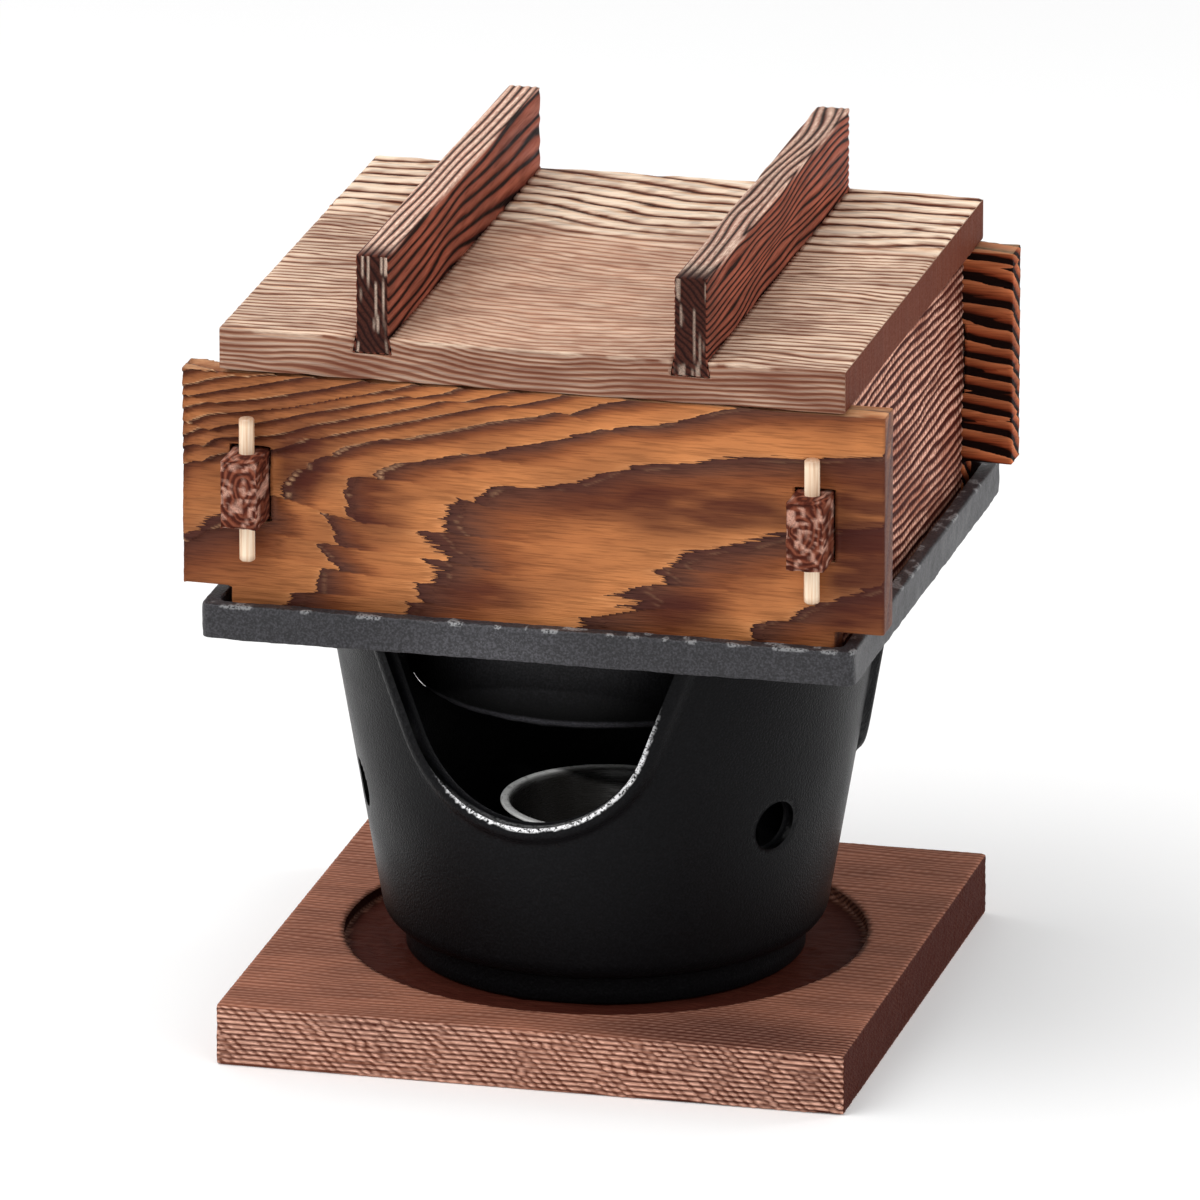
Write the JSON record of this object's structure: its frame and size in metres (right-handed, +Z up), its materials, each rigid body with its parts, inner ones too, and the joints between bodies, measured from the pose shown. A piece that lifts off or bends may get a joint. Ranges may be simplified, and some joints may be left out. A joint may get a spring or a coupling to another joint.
{
  "type": "table-top steamer stove",
  "caption": "Cast table-top stove for solid fuel on a cedar board, with a square water pan and a pegged cedar steaming box with a cleated lid.",
  "frame": {"origin": "centre of the base board's underside, on the table", "axes": "+Z up; the stove's large arch faces -Y; +X to the right of someone looking into the arch"},
  "size_m": [0.1662, 0.165, 0.1984],
  "materials": {
    "base_cedar": "scorched and brushed, dull",
    "box_cedar": "scorched and brushed, low sheen",
    "lid_cedar": "scorched and brushed, dull",
    "plain_cedar": "planed, unfinished",
    "bamboo": "scraped smooth",
    "black_cast": "cast, heat-resistant matt black coating",
    "bright_metal": "spun, bright"
  },
  "bodies": {
    "base": {"base_board": "base_cedar"},
    "stove": {"stove_body": "black_cast"},
    "dish": {"fuel_dish": "bright_metal"},
    "pan": {"water_pan": "black_cast"},
    "box": {"front_board": "box_cedar", "back_board": "box_cedar", "left_side_board": "box_cedar", "right_side_board": "box_cedar", "ledger_left": "plain_cedar", "ledger_right": "plain_cedar"},
    "rack": {"rack_bearer_front": "plain_cedar", "rack_bearer_back": "plain_cedar", "rack_pins": "bamboo", "rack_slat_1": "plain_cedar", "rack_slat_2": "plain_cedar", "rack_slat_3": "plain_cedar", "rack_slat_4": "plain_cedar", "rack_slat_5": "plain_cedar", "rack_slat_6": "plain_cedar", "rack_slat_7": "plain_cedar", "rack_slat_8": "plain_cedar", "rack_slat_9": "plain_cedar"},
    "lid": {"lid_panel": "lid_cedar", "lid_cleat_left": "lid_cedar", "lid_cleat_right": "lid_cedar"},
    "peg_front_left": {"peg_front_left": "bamboo"},
    "peg_front_right": {"peg_front_right": "bamboo"},
    "peg_back_left": {"peg_back_left": "bamboo"},
    "peg_back_right": {"peg_back_right": "bamboo"}
  },
  "joints": [
    {"name": "stove_lift", "type": "slide", "parent": "base", "child": "stove", "axis": [0, 0, 1], "range_m": [0, 0.12]},
    {"name": "dish_lift", "type": "slide", "parent": "stove", "child": "dish", "axis": [0, 0, 1], "range_m": [0, 0.08]},
    {"name": "pan_lift", "type": "slide", "parent": "dish", "child": "pan", "axis": [0, 0, 1], "range_m": [0, 0.1]},
    {"name": "box_lift", "type": "slide", "parent": "pan", "child": "box", "axis": [0, 0, 1], "range_m": [0, 0.08]},
    {"name": "rack_lift", "type": "slide", "parent": "box", "child": "rack", "axis": [0, 0, 1], "range_m": [0, 0.07]},
    {"name": "lid_lift", "type": "slide", "parent": "rack", "child": "lid", "axis": [0, 0, 1], "range_m": [0, 0.08]},
    {"name": "peg_front_left_slide", "type": "slide", "parent": "box", "child": "peg_front_left", "axis": [0, 0, 1], "range_m": [0, 0.035]},
    {"name": "peg_front_right_slide", "type": "slide", "parent": "box", "child": "peg_front_right", "axis": [0, 0, 1], "range_m": [0, 0.035]},
    {"name": "peg_back_left_slide", "type": "slide", "parent": "box", "child": "peg_back_left", "axis": [0, 0, 1], "range_m": [0, 0.035]},
    {"name": "peg_back_right_slide", "type": "slide", "parent": "box", "child": "peg_back_right", "axis": [0, 0, 1], "range_m": [0, 0.035]}
  ]
}
